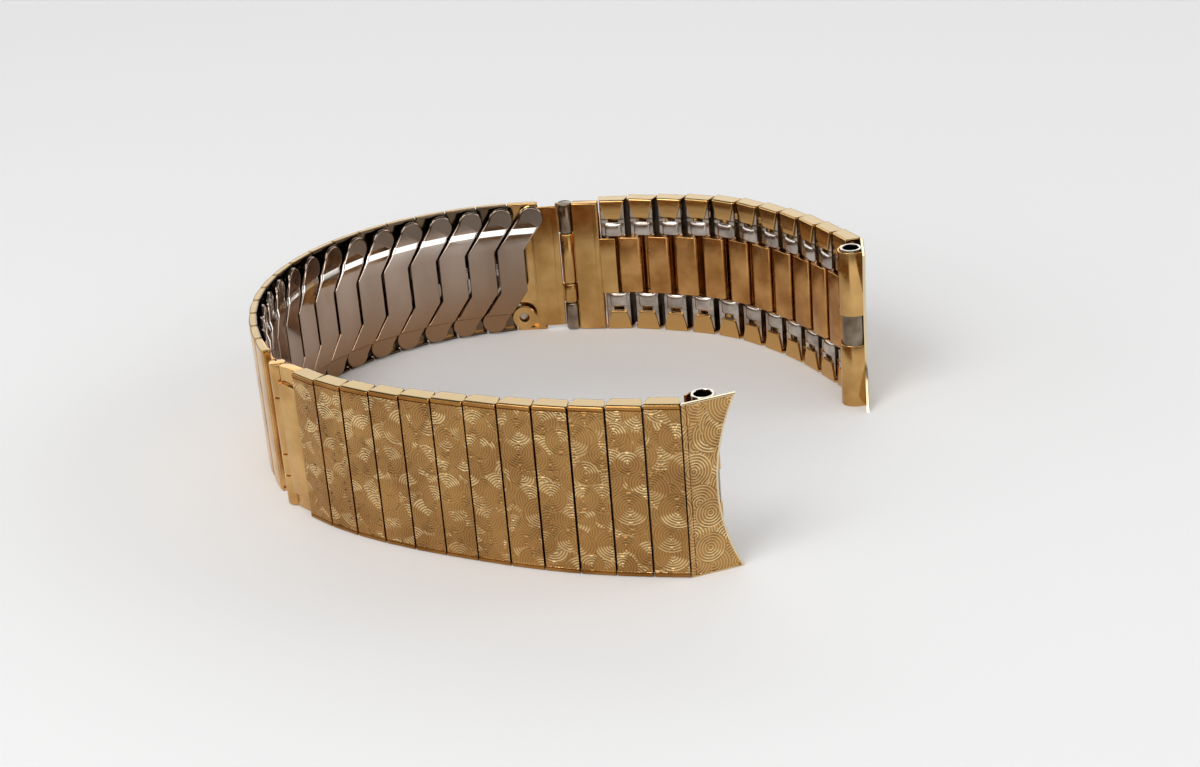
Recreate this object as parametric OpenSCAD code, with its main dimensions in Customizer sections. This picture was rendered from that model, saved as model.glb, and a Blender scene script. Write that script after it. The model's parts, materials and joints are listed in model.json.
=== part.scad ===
// Stretch bracelet for a small wristwatch, standing on its lower edges and curled as worn.
// Two runs of engraved fixed links meet a sprung section of narrow shells crossed by levers.
// Every piece is drawn round its own pivot line and then set along one curled path.
// In each piece's own frame x runs along the band, y points outward and z is up.

/* [Band] */
// Width of the band at the two spring bar tubes
end_width = 18; // [17:0.5:20]
// Width of the band at the sprung section
spring_width = 16; // [15.5:0.25:17]
// Share of the full curl: 0 lays the band straight
curl = 1; // [0:0.1:1]
// Thickness of the gold sheet
sheet = 0.3; // [0.2:0.05:0.3]

/* [Fixed links] */
// Distance from one fixed link to the next
link_pitch = 3.5; // [3.4:0.1:4]
// Gap seen between two fixed links
link_gap = 0.1; // [0.08:0.02:0.2]
// Height of the engraved face above the pins
face_y = 1.2; // [1.15:0.05:1.4]
// Depth of the inner lips below the pins
lip_y = 0.65; // [0.65:0.05:0.8]
// Reach of each inner lip from the edge of the band
lip_reach = 2.3; // [2:0.1:2.4]

/* [Spring shells] */
// Distance from one shell to the next
shell_pitch = 3.6; // [3.5:0.1:4]
// Gap between two closed shells
shell_gap = 0.1; // [0.08:0.02:0.16]
// Height of a shell's crown above its pivot line
crown_y = 0.95; // [0.95:0.05:1.1]
// Radius of the crown across the shell
crown_r = 12; // [8:1:20]

/* [Levers] */
// Width of the upright middle of a lever
lever_w = 3.15; // [2.8:0.05:3.2]
// Width of a lever's slanted arms
arm_w = 2.6; // [2:0.1:2.6]
// Radius of a lever's round ends
lever_end_r = 1.45; // [1.2:0.05:1.45]
// Slant of the arms from upright, in degrees
arm_slant = 36; // [34:1:39]
// Thickness of a lever's stamped sheet
lever_t = 0.3; // [0.2:0.05:0.3]
// Rise of a lever's body above its two ends
lever_rise = 0.25; // [0.25:0.05:0.35]

/* [Pins] */
// Radius of the link pins
pin_r = 0.3; // [0.25:0.05:0.3]
// Clearance round every turning pin
run_gap = 0.05; // [0.03:0.01:0.07]
// Radius of the barrel hinges
barrel_r = 0.85; // [0.8:0.01:0.9]

/* [End pieces] */
// Bore radius of the spring bar tubes
tube_bore = 0.85; // [0.7:0.05:0.85]
// Wall of the rolled spring bar tubes
tube_wall = 0.3; // [0.25:0.05:0.3]
// Length of the engraved end cover along its edges
cover_reach = 5.7; // [5.5:0.1:6.2]
// Depth of the hollow in the free edge that clears the watch case
cover_hollow = 2.2; // [1.5:0.1:2.3]

/* [Hidden] */
// Angle in degrees between neighbouring shells, from the right hinge to the left one
shell_bends = [6.5, 7.5, 7, 7.5, 7.5, 8.5, 8.5, 9, 8.5, 8.5, 8, 7.5, 6.5, 5.5, 5];
// Angles between fixed links, from the hinge to the end piece
back_bends = [9, 3.5, 4.5, 11, 10, 5, 5.5, 5.5, 2, 0.5];
front_bends = [7, 5, 3.5, 3, 2, 1, 2.5, 3.5, 4, 3, 2.5];
back_hinge_bend = 6.5;
front_hinge_bend = 24;
end_bend = 29;
// Place and heading of the left hinge plate, the first piece of the path
plate_x = -29.724;
plate_y = -5.622;
plate_heading = 109.5;

last_shell = 15;
back_count = 11;
front_count = 12;
// Shells whose spring leaf is a piece of its own, where the band also bends
bend_shells = [4, 7, 10, 13];

fit = 0.02;
top_gap = 0.05;
smooth = 64;

// Fixed link
link_w = link_pitch - link_gap;
pin_x = 0.85;
pin_step = link_pitch - 2 * pin_x;
flange = 0.45;
flange_taper = 0.3;
lip_t = 0.3;
panel_inset = 4.65;
panel_r = 0.55;
rail = 0.6;
nose_w = 2.1;
nose_y = 0.65;
nose_bulge = 0.45;
edge_r = 0.25;
groove = 0.08;
liner_y = 0.4;
liner_t = 0.3;
window_h = 0.45;
window_w = 1.2;
block_w = 2.7;

// Shell
shell_w = shell_pitch - shell_gap;
shoulder = 0.35;
shoulder_drop = 0.15;
shell_flange = 0.4;
shell_inner_y = 0.05;
shell_taper = 0.1;
wall_y = crown_y - sheet;
cross_y = 0.12;
cross_t = 0.13;
cross_w = 2;
cross_end_r = 0.95;
rivet_r = 0.35;
rivet_head_r = 0.8;
rivet_head_t = 0.14;
leaf_w = 0.7;
leaf_t = 0.1;
leaf_x = -1.25;
leaf_y = 0.41;
leaf_half = 4.4;
leaf_bow = 0.06;

// Lever
end_x = 0.75 * shell_pitch;
end_z = spring_width / 2 - lever_end_r - 0.25;
lever_y = 0.45;
post_x = 0.2 * shell_pitch;
post_z = 2.1;
post_r = 0.45;
stub_r = 0.4;
stub_l = 0.1;
crease_top = 1.1;
crease_bottom = 0.75;

// Hinges between the sprung section and the fixed links
plate_reach = 4.95;
bar_reach = 5.65;
barrel_pin_r = 0.4;
barrel_gap = 0.05;
knuckle_z = [0.1, 3.5, 5.95, 12.25, spring_width - 0.1];
knuckle_gap = 0.1;
arm_y = 0.3;
ear_y = 0.12;
ear_t = 0.12;
plate_t = 0.3;
eyelet_r = 0.55;
bar_y = 0.65;
bar_t = 1.15;
tongue_y = 0.95;
strip_t = 0.22;
tongue_inset = 1.8;

// End piece
tube_r = tube_bore + tube_wall;
tube_x = 3;
cover_t = 0.3;
tongue_t = 0.45;
hollow_r = (pow(end_width / 2, 2) + pow(cover_hollow, 2)) / (2 * cover_hollow);

// A pose is [x, y, heading]. Travel is clockwise seen from above.
function ahead(p, d) = [p[0] + d * cos(p[2]), p[1] + d * sin(p[2]), p[2]];
function bent(p, b) = [p[0], p[1], p[2] - b * curl];

function shell_pose(k) = k == last_shell ? [plate_x, plate_y, plate_heading] :
  ahead(bent(ahead(shell_pose(k + 1), shell_pitch / 2), shell_bends[k]), shell_pitch / 2);

// Midway between shell k and the shell to its left, at half their angle
function lever_pose(k) = bent(ahead(shell_pose(k), shell_pitch / 2), shell_bends[k - 1] / 2);

// Side 1 is the back run and side -1 the front run
function bends(side) = side > 0 ? back_bends : front_bends;
function count(side) = side > 0 ? back_count : front_count;
function barrel_pose(side) =
  bent(ahead(shell_pose(side > 0 ? 0 : last_shell), side * plate_reach),
       side * (side > 0 ? back_hinge_bend : front_hinge_bend));
function link_pose(side, i) = i == 1 ? ahead(barrel_pose(side), side * bar_reach) :
  let (b = side * bends(side)[i - 2] / 2)
  ahead(bent(ahead(bent(ahead(link_pose(side, i - 1), side * pin_x), b), side * pin_step), b),
        side * pin_x);
function end_pose(side) =
  bent(ahead(link_pose(side, count(side)), side * pin_x), side * end_bend);
function width(side, i) = spring_width + (end_width - spring_width) * i / count(side);

// Sets a piece on the path with its lower edge at z = 0 and its x axis away from the plates
module at_pose(p, w, side = 1) {
  translate([p[0], p[1], w / 2]) rotate([0, 0, p[2]]) mirror([side > 0 ? 0 : 1, 0, 0]) children();
}

module both_edges() {
  children();
  mirror([0, 0, 1]) children();
}

module upright(r, z0, z1) {
  translate([0, 0, z0]) cylinder(r = r, h = z1 - z0, $fn = smooth);
}

// Bar along x whose section is drawn in y and z
module along_x(l) {
  translate([-l / 2, 0, 0]) rotate([90, 0, 90]) linear_extrude(l) children();
}

// Section between two depths with its outer corners rolled over
module rounded_face(y0, y1, w) {
  translate([y0, -w / 2]) square([y1 - y0 - edge_r, w]);
  translate([y0, edge_r - w / 2]) square([y1 - y0, w - 2 * edge_r]);
  for (s = [-1, 1]) translate([y1 - edge_r, s * (w / 2 - edge_r)]) circle(r = edge_r, $fn = 32);
}

// Gold channel of one fixed link: engraved face, two flanges and two inner lips
module link_channel(w) {
  half = link_w / 2;
  inner = half - flange_taper;
  color("goldenrod") union() {
    difference() {
      along_x(link_w) rounded_face(face_y - sheet, face_y, w);
      both_edges() translate([-half - 1, face_y - groove, w / 2 - flange])
        cube([link_w + 2, 1, groove]);
    }
    both_edges() {
      intersection() {
        translate([0, 0, w / 2 - flange]) linear_extrude(flange)
          polygon([[-half, face_y], [-half, face_y - 2 * sheet], [-inner, -lip_y],
                   [inner, -lip_y], [half, face_y - 2 * sheet], [half, face_y]]);
        along_x(link_w) rounded_face(-lip_y, face_y, w);
      }
      translate([0, lip_t - lip_y, 0]) rotate([90, 0, 0]) linear_extrude(lip_t)
        polygon([[-inner, w / 2 - flange / 2], [-inner, w / 2 - flange],
                 [-inner + 0.5, w / 2 - lip_reach], [inner - 0.5, w / 2 - lip_reach],
                 [inner, w / 2 - flange], [inner, w / 2 - flange / 2]]);
    }
  }
}

// Steel core at both edges of a link: liner with a window, nose and the seats of both pins
module link_core(w) {
  panel = w / 2 - panel_inset;
  nose_top = w / 2 - lip_reach - window_h - 0.05;
  liner_top = w / 2 - flange - fit;
  arm = link_w / 2 - flange_taper - 0.05;
  chord = (nose_top - panel - top_gap) / 2;
  bulge_r = (chord * chord + nose_bulge * nose_bulge) / (2 * nose_bulge);
  color("dimgray") both_edges() difference() {
    union() {
      translate([-block_w / 2, -liner_y, panel + top_gap])
        cube([block_w, liner_y + face_y - sheet - fit, nose_top - panel - top_gap]);
      translate([-arm, -liner_y, panel + rail / 2])
        cube([2 * arm, liner_t, liner_top - panel - rail / 2]);
      along_x(nose_w) intersection() {
        translate([-nose_y, panel + top_gap]) square([nose_y, nose_top - panel - top_gap]);
        translate([bulge_r - nose_y, (nose_top + panel + top_gap) / 2]) circle(r = bulge_r, $fn = smooth);
      }
    }
    translate([-window_w / 2, -lip_y, nose_top]) cube([window_w, 2 * lip_y, window_h]);
    for (x = [-pin_x, pin_x]) translate([x, 0, 0]) upright(pin_r + fit, 0, w / 2 - lip_reach - window_h - 0.3);
  }
}

module link_pins(w) {
  tip = w / 2 - lip_reach - window_h - 0.35;
  color("silver") for (x = [-pin_x, pin_x]) translate([x, 0, 0]) upright(pin_r, -tip, tip);
}

// Wrapped panel that joins this link to the next: it rides here and turns on the next link's pin
module link_panel(w, bend) {
  panel = w / 2 - panel_inset;
  color("darkgoldenrod") translate([pin_x, 0, 0]) rotate([0, 0, -bend * curl / 2]) difference() {
    union() {
      upright(panel_r, -panel, panel);
      translate([pin_step, 0, 0]) upright(panel_r, -panel, panel);
      translate([0, -panel_r, -panel]) cube([pin_step, 2 * panel_r, 2 * panel]);
    }
    upright(pin_r + fit, -w, w);
    translate([pin_step, 0, 0]) upright(pin_r + run_gap, -w, w);
  }
}

module fixed_link(side, i) {
  w = width(side, i);
  at_pose(link_pose(side, i), w, side) {
    link_channel(w);
    link_core(w);
    link_pins(w);
    if (i < count(side)) link_panel(w, bends(side)[i - 1]);
    if (i == 1) {
      translate([-bar_reach, 0, (spring_width - w) / 2]) hinge_bar();
      color("darkgoldenrod") translate([-link_w / 2 - 0.1, -panel_r, panel_inset - w / 2])
        cube([link_w / 2 + 0.2, strip_t, w - 2 * panel_inset]);
    }
  }
}

// Bar between a barrel hinge and the first fixed link, with two of the four knuckles
module hinge_bar() {
  half = spring_width / 2;
  near = barrel_r + barrel_gap;
  far = bar_reach - link_w / 2 - 0.02;
  color("goldenrod") difference() {
    union() {
      translate([near, -bar_y, -half + 0.1]) cube([far - near, bar_t, spring_width - 0.2]);
      translate([near, -bar_y, -half + tongue_inset])
        cube([far - near, bar_y + tongue_y, spring_width - 2 * tongue_inset]);
      for (n = [0, 2]) {
        z0 = knuckle_z[n] - half;
        z1 = knuckle_z[n + 1] - knuckle_gap - half;
        upright(barrel_r, z0, z1);
        translate([0, -arm_y, z0]) cube([near + 0.1, 2 * arm_y, z1 - z0]);
      }
    }
    upright(barrel_pin_r + run_gap, -half, half);
  }
}

// Gold channel of one shell: crowned wall with a shoulder at each side, and two flanges
module shell_channel() {
  half = shell_w / 2;
  inner = half - shell_taper;
  color("goldenrod") union() {
    translate([0, 0, -spring_width / 2]) linear_extrude(spring_width) intersection() {
      translate([0, crown_y - crown_r]) circle(r = crown_r, $fn = 180);
      translate([-half + shoulder, wall_y]) square([shell_w - 2 * shoulder, sheet]);
    }
    translate([-half, wall_y, -spring_width / 2])
      cube([shell_w, sheet - shoulder_drop, spring_width]);
    both_edges() translate([0, 0, spring_width / 2 - shell_flange]) linear_extrude(shell_flange)
      polygon([[-half, wall_y + 0.1], [-half, 0.3], [-inner, shell_inner_y],
               [inner, shell_inner_y], [half, 0.3], [half, wall_y + 0.1]]);
  }
}

// Outline of a stamped lever in its own plane, from top right to bottom left
module lever_outline(w, arm, r = lever_end_r, z = end_z) {
  h = arm / 2;
  slope = 1 / tan(arm_slant);
  left_x = end_x - h * cos(arm_slant);
  left_z = z + h * sin(arm_slant);
  right_x = end_x + h * cos(arm_slant);
  right_z = z - h * sin(arm_slant);
  z1 = left_z - (left_x + w / 2) * slope;
  z2 = right_z - (right_x - w / 2) * slope;
  polygon([[-w / 2, z1], [left_x, left_z], [right_x, right_z], [w / 2, z2],
           [w / 2, -z1], [-left_x, -left_z], [-right_x, -right_z], [-w / 2, -z2]]);
  for (s = [-1, 1]) translate([s * end_x, s * z]) circle(r = r, $fn = smooth);
}

// Plate of an outline whose inner face is at y0, towards the wrist
module flat(y0, t) {
  translate([0, y0 + t, 0]) rotate([90, 0, 0]) linear_extrude(t) children();
}

// Cross lever behind the front ones, held at the middle of its shell by a rivet
module cross_lever() {
  color("dimgray") difference() {
    flat(cross_y, cross_t) mirror([1, 0]) lever_outline(cross_w, cross_w * 0.9, cross_end_r);
    rotate([-90, 0, 0]) translate([0, 0, -1]) cylinder(r = rivet_r + fit, h = 3, $fn = smooth);
    translate([shell_pitch / 2 - post_x, 0, -post_z]) rotate([-90, 0, 0])
      translate([0, 0, -1]) cylinder(r = post_r + 0.15, h = 3, $fn = smooth);
  }
  color("silver") rotate([-90, 0, 0]) {
    translate([0, 0, cross_y - rivet_head_t - fit])
      cylinder(r = rivet_head_r, h = rivet_head_t, $fn = smooth);
    translate([0, 0, cross_y - rivet_head_t])
      cylinder(r = rivet_r, h = wall_y - cross_y + rivet_head_t + 0.1, $fn = smooth);
  }
}

// Post in the third row that carries the front lever to the right of shell k
module lever_post(k) {
  color("silver") translate([shell_pitch / 2, 0, 0]) rotate([0, 0, -shell_bends[k - 1] * curl / 2])
    translate([-post_x, 0, -post_z]) rotate([90, 0, 0]) translate([0, 0, -wall_y - 0.1])
      cylinder(r = post_r, h = wall_y + 0.1 + lever_y + lever_t + 0.1, $fn = smooth);
}

// Bowed leaf spring that lies against the wall of a shell
module leaf() {
  r = (leaf_half * leaf_half + leaf_bow * leaf_bow) / (2 * leaf_bow);
  color("lightsteelblue") translate([leaf_x, leaf_y + leaf_bow - r, 0]) rotate([0, 90, 0])
    intersection() {
      difference() {
        cylinder(r = r + leaf_t, h = leaf_w, center = true, $fn = 720);
        cylinder(r = r, h = leaf_w + 1, center = true, $fn = 720);
      }
      translate([-leaf_half, 0, -leaf_w]) cube([2 * leaf_half, 2 * r, 2 * leaf_w]);
    }
}

module shell(k) {
  at_pose(shell_pose(k), spring_width) {
    shell_channel();
    cross_lever();
    lever_post(k);
    if (len(search(k, bend_shells)) == 0) leaf();
  }
}

// Spring leaf that moves along with its shell but doesn't bend with it
module spring(k) {
  at_pose(shell_pose(k), spring_width) leaf();
}

// Front lever: two stepped round ends, a raised body and the blind seat of its post
module lever(k) {
  at_pose(lever_pose(k), spring_width) color("gray") difference() {
    union() {
      flat(-lever_y - lever_t, lever_t) for (s = [-1, 1]) intersection() {
        lever_outline(lever_w, arm_w);
        translate([s * end_x, s * (end_z + 0.2)]) square(2 * lever_end_r + 1.2, center = true);
      }
      flat(-lever_y - lever_t - lever_rise, lever_t + 0.15) intersection() {
        lever_outline(lever_w, arm_w);
        translate([-3 * end_x, -end_z + crease_bottom])
          square([6 * end_x, 2 * end_z - crease_top - crease_bottom]);
      }
      for (s = [-1, 1]) translate([s * end_x, 0, s * end_z]) rotate([90, 0, 0])
        translate([0, 0, lever_y - stub_l]) cylinder(r = stub_r, h = stub_l + 0.1, $fn = smooth);
    }
    translate([-post_x, 0, -post_z]) rotate([90, 0, 0])
      cylinder(r = post_r + run_gap, h = lever_y + lever_t + 0.15, $fn = smooth);
  }
}

// Hinge plate at each end of the sprung section, with two of the four knuckles and the pin
module hinge_plate() {
  half = spring_width / 2;
  near = plate_reach - barrel_r - barrel_gap;
  color("goldenrod") difference() {
    union() {
      translate([end_x / 3, -ear_y, -half + 0.5]) cube([near - end_x / 3, plate_t, spring_width - 1]);
      for (n = [1, 3]) {
        z0 = knuckle_z[n] - half;
        z1 = knuckle_z[n + 1] - (n == 1 ? knuckle_gap : 0) - half;
        translate([plate_reach, 0, 0]) upright(barrel_r, z0, z1);
        translate([near - 0.1, -ear_y, z0]) cube([plate_reach - near, plate_t, z1 - z0]);
      }
      translate([shell_w / 2 - 1, -ear_y, -half + 0.1]) cube([0.8, wall_y + ear_y + 0.1, spring_width - 0.2]);
    }
    translate([plate_reach, 0, 0]) upright(barrel_pin_r + fit, -half, half);
  }
  color("silver") translate([plate_reach, 0, 0]) upright(barrel_pin_r, 0.15 - half, half - 0.15);
}

// Round ears in the places of the lever pins on a hinge plate
module ears() {
  for (s = [-1, 1]) difference() {
    color("goldenrod") flat(-ear_y, ear_t) union() {
      translate([s * end_x / 3, s * end_z]) circle(r = lever_end_r, $fn = smooth);
      translate([-end_x / 3, s * end_z - lever_end_r * 0.8]) square([2 * end_x / 3, lever_end_r * 1.6]);
    }
    translate([s * end_x / 3, 0, s * end_z]) rotate([90, 0, 0])
      cylinder(r = eyelet_r, h = 4, center = true, $fn = smooth);
  }
}

module plate_right() {
  at_pose(shell_pose(0), spring_width) {
    shell_channel();
    ears();
    hinge_plate();
  }
}

module plate_left() {
  at_pose(shell_pose(last_shell), spring_width) {
    shell_channel();
    ears();
    mirror([1, 0, 0]) hinge_plate();
    lever_post(last_shell);
  }
}

// End piece: hollowed cover set at a slant, rolled spring bar tube and the tongue on the last
// link's pin. At rest the cover's edge stands against the last link.
module end_piece(side) {
  w = end_width;
  panel = w / 2 - panel_inset;
  slant = end_bend * curl;
  edge = link_pitch / 2 - pin_x + link_gap;
  outer = edge * sin(slant) + face_y * cos(slant);
  inner = outer - cover_t;
  near_outer = (edge - outer * sin(slant)) / cos(slant);
  near_inner = (edge - inner * sin(slant)) / cos(slant);
  tube_y = inner - tube_r + 0.02;
  at_pose(end_pose(side), w, side) {
    color("goldenrod") difference() {
      union() {
        translate([0, 0, -w / 2]) linear_extrude(w)
          polygon([[near_outer, outer], [near_inner, inner], [cover_reach, inner], [cover_reach, outer]]);
        translate([tube_x, tube_y, 0]) upright(tube_r, -w / 2, w / 2);
        upright(panel_r, -panel, panel);
        translate([0, -panel_r, -panel]) cube([tube_x - tube_bore + 0.3, tongue_t, 2 * panel]);
      }
      upright(pin_r + run_gap, -w, w);
      translate([tube_x, tube_y, 0]) upright(tube_bore, -w, w);
      translate([cover_reach - cover_hollow + hollow_r, 0, 0]) rotate([-90, 0, 0])
        translate([0, 0, inner - 0.01]) cylinder(r = hollow_r, h = 2 * cover_t, $fn = 360);
    }
  }
}

end_piece(-1);  // end_front
end_piece(1);  // end_rear
plate_left();
plate_right();
fixed_link(-1, 1);  // front_1
fixed_link(-1, 2);  // front_2
fixed_link(-1, 3);  // front_3
fixed_link(-1, 4);  // front_4
fixed_link(-1, 5);  // front_5
fixed_link(-1, 6);  // front_6
fixed_link(-1, 7);  // front_7
fixed_link(-1, 8);  // front_8
fixed_link(-1, 9);  // front_9
fixed_link(-1, 10);  // front_10
fixed_link(-1, 11);  // front_11
fixed_link(-1, 12);  // front_12
fixed_link(1, 1);  // back_1
fixed_link(1, 2);  // back_2
fixed_link(1, 3);  // back_3
fixed_link(1, 4);  // back_4
fixed_link(1, 5);  // back_5
fixed_link(1, 6);  // back_6
fixed_link(1, 7);  // back_7
fixed_link(1, 8);  // back_8
fixed_link(1, 9);  // back_9
fixed_link(1, 10);  // back_10
fixed_link(1, 11);  // back_11
shell(1);  // shell_1
shell(2);  // shell_2
shell(3);  // shell_3
shell(4);  // shell_4
shell(5);  // shell_5
shell(6);  // shell_6
shell(7);  // shell_7
shell(8);  // shell_8
shell(9);  // shell_9
shell(10);  // shell_10
shell(11);  // shell_11
shell(12);  // shell_12
shell(13);  // shell_13
shell(14);  // shell_14
lever(1);  // lever_1
lever(2);  // lever_2
lever(3);  // lever_3
lever(4);  // lever_4
lever(5);  // lever_5
lever(6);  // lever_6
lever(7);  // lever_7
lever(8);  // lever_8
lever(9);  // lever_9
lever(10);  // lever_10
lever(11);  // lever_11
lever(12);  // lever_12
lever(13);  // lever_13
lever(14);  // lever_14
lever(15);  // lever_15
spring(4);  // spring_4
spring(7);  // spring_7
spring(10);  // spring_10
spring(13);  // spring_13
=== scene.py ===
# Looks of the stretch bracelet: engraved gold links, sprung shells and mirror-steel levers.
import json
import math

import bmesh
import bpy
import numpy as np
from mathutils import Matrix, Vector

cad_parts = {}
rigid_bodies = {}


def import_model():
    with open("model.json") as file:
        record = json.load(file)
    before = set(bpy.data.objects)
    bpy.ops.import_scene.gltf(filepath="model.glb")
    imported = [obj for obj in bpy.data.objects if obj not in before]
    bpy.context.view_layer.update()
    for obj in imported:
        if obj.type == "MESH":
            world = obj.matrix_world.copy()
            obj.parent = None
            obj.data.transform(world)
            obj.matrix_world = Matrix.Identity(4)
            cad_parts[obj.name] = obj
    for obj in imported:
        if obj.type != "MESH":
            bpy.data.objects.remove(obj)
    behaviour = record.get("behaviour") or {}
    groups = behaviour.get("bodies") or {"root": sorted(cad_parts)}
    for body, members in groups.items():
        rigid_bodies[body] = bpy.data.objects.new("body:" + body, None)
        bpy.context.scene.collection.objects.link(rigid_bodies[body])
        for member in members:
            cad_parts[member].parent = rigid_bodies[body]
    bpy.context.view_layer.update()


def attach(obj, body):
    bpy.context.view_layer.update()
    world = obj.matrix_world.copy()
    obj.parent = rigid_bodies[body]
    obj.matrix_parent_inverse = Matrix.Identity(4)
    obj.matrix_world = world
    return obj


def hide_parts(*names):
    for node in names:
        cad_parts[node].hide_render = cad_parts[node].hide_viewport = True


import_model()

# Sizes in millimetres and degrees, the same as the part's source
MM = 0.001
END_W, SPRING_W = 18.0, 16.0
LINK_PITCH, LINK_GAP, FACE_Y, LIP_Y, LIP_REACH = 3.5, 0.1, 1.2, 0.65, 2.3
SHELL_PITCH, SHELL_GAP, CROWN_Y, CROWN_R = 3.6, 0.1, 0.95, 12.0
LEVER_W, ARM_W, LEVER_R, ARM_SLANT = 3.15, 2.6, 1.45, 36.0
SHELL_BENDS = [6.5, 7.5, 7, 7.5, 7.5, 8.5, 8.5, 9, 8.5, 8.5, 8, 7.5, 6.5, 5.5, 5]
BACK_BENDS = [9, 3.5, 4.5, 11, 10, 5, 5.5, 5.5, 2, 0.5]
FRONT_BENDS = [7, 5, 3.5, 3, 2, 1, 2.5, 3.5, 4, 3, 2.5]
BACK_HINGE, FRONT_HINGE, END_BEND = 6.5, 24.0, 29.0
PLATE = (-29.724, -5.622, 109.5)
LAST_SHELL = 15
SPRING_NODES = (4, 7, 10, 13)
PIN_X, PIN_R = 0.85, 0.3
PIN_STEP = LINK_PITCH - 2 * PIN_X
PANEL_INSET, PANEL_R = 4.65, 0.55
PLATE_REACH, BAR_REACH = 4.95, 5.65
BARREL_R, BARREL_GAP, BARREL_PIN_R = 0.85, 0.05, 0.4
KNUCKLES, KNUCKLE_GAP = [0.1, 3.5, 5.95, 12.25, 15.9], 0.1
SHEET, EDGE_R, TAPER = 0.3, 0.25, 0.3
POST_R, RIVET_R, RIVET_HEAD_R = 0.45, 0.35, 0.7
LEAF_X, LEAF_Y, LEAF_T, LEAF_HALF, LEAF_BOW = (-1.6, -0.9), 0.41, 0.1, 4.4, 0.06
TUBE_R, TUBE_BORE, TUBE_X = 1.15, 0.85, 3
COVER_REACH, COVER_HOLLOW = 5.7, 2.2
LINK_HALF = (LINK_PITCH - LINK_GAP) / 2
SHELL_HALF = (SHELL_PITCH - SHELL_GAP) / 2
HALF_END, HALF_SPRING = END_W / 2, SPRING_W / 2
HOLLOW_R = (HALF_END ** 2 + COVER_HOLLOW ** 2) / (2 * COVER_HOLLOW)
END_X = 0.75 * SHELL_PITCH
END_Z = HALF_SPRING - LEVER_R - 0.25
POST_X, POST_Z = 0.2 * SHELL_PITCH, 2.1

# Engraving: depth of the cut, drop of the face under its rim, and for links and end covers
# the ring spacing, the mesh cell, the plain margin, and the discs' radius and spacing
ENGRAVE, FACE_SINK = 0.05, 0.02
LINK_RING, LINK_CELL, LINK_MARGIN, LINK_DISC = 0.27, 0.062, 0.56, (1.65, 1.12)
END_RING, END_CELL, END_MARGIN, END_DISC = 0.29, 0.055, 0.16, (2.0, 1.3)
# Share of bright cut metal that the rings keep outside a disc's painted highlight, for links and
# end covers, and the seed of the covers' discs
LINK_DIM, END_DIM, END_SEED = 0.2, 0.45, 77


# Small helpers
def unit(degrees):
    """Cosine and sine"""
    return math.cos(math.radians(degrees)), math.sin(math.radians(degrees))


def lerp(a, b, t):
    return a + (b - a) * t


def rise(value, start, width):
    """0 below start, rising evenly to 1 over the width"""
    return np.clip((value - start) / width, 0, 1)


def span(half):
    return (-half, half)


def link_width(i, count):
    """Height of a run's link i, which grows towards the end piece"""
    return SPRING_W + (END_W - SPRING_W) * i / count


def knuckle_span(n):
    """Lower and upper end of knuckle n of a barrel hinge"""
    gap = KNUCKLE_GAP if n < 3 else 0
    return (KNUCKLES[n] - HALF_SPRING, KNUCKLES[n + 1] - HALF_SPRING - gap)


# The curled path: a place is (x, y, heading)
def ahead(p, d):
    c, s = unit(p[2])
    return (p[0] + d * c, p[1] + d * s, p[2])


def bent(p, b):
    return (p[0], p[1], p[2] - b)


shell_pose = {LAST_SHELL: PLATE}
for k in range(LAST_SHELL - 1, -1, -1):
    corner = bent(ahead(shell_pose[k + 1], SHELL_PITCH / 2), SHELL_BENDS[k])
    shell_pose[k] = ahead(corner, SHELL_PITCH / 2)
lever_pose = {k: bent(ahead(shell_pose[k], SHELL_PITCH / 2), SHELL_BENDS[k - 1] / 2)
              for k in range(1, LAST_SHELL + 1)}


def run_poses(side):
    """Places of a run's links and of its end piece, and the bends between the links"""
    bends, hinge = (BACK_BENDS, BACK_HINGE) if side > 0 else (FRONT_BENDS, FRONT_HINGE)
    p = bent(ahead(shell_pose[0 if side > 0 else LAST_SHELL], side * PLATE_REACH), side * hinge)
    p = ahead(p, side * BAR_REACH)
    poses = [p]
    for b in bends:
        p = bent(ahead(p, side * PIN_X), side * b / 2)
        p = ahead(bent(ahead(p, side * PIN_STEP), side * b / 2), side * PIN_X)
        poses.append(p)
    return poses, bent(ahead(p, side * PIN_X), side * END_BEND), bends


def place(pose, width, side=1):
    """Matrix that stands a piece of this height at a place, with its lower edge at z = 0"""
    return (Matrix.Translation((pose[0], pose[1], width / 2))
            @ Matrix.Rotation(math.radians(pose[2]), 4, "Z")
            @ Matrix.Diagonal((side, 1, 1, 1)))


def show(obj):
    bpy.context.scene.collection.objects.link(obj)


def band(bm, p, q):
    """Faces between two loops of as many points"""
    for i in range(len(p)):
        j = (i + 1) % len(p)
        bm.faces.new((p[i], p[j], q[j], q[i]))


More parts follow.
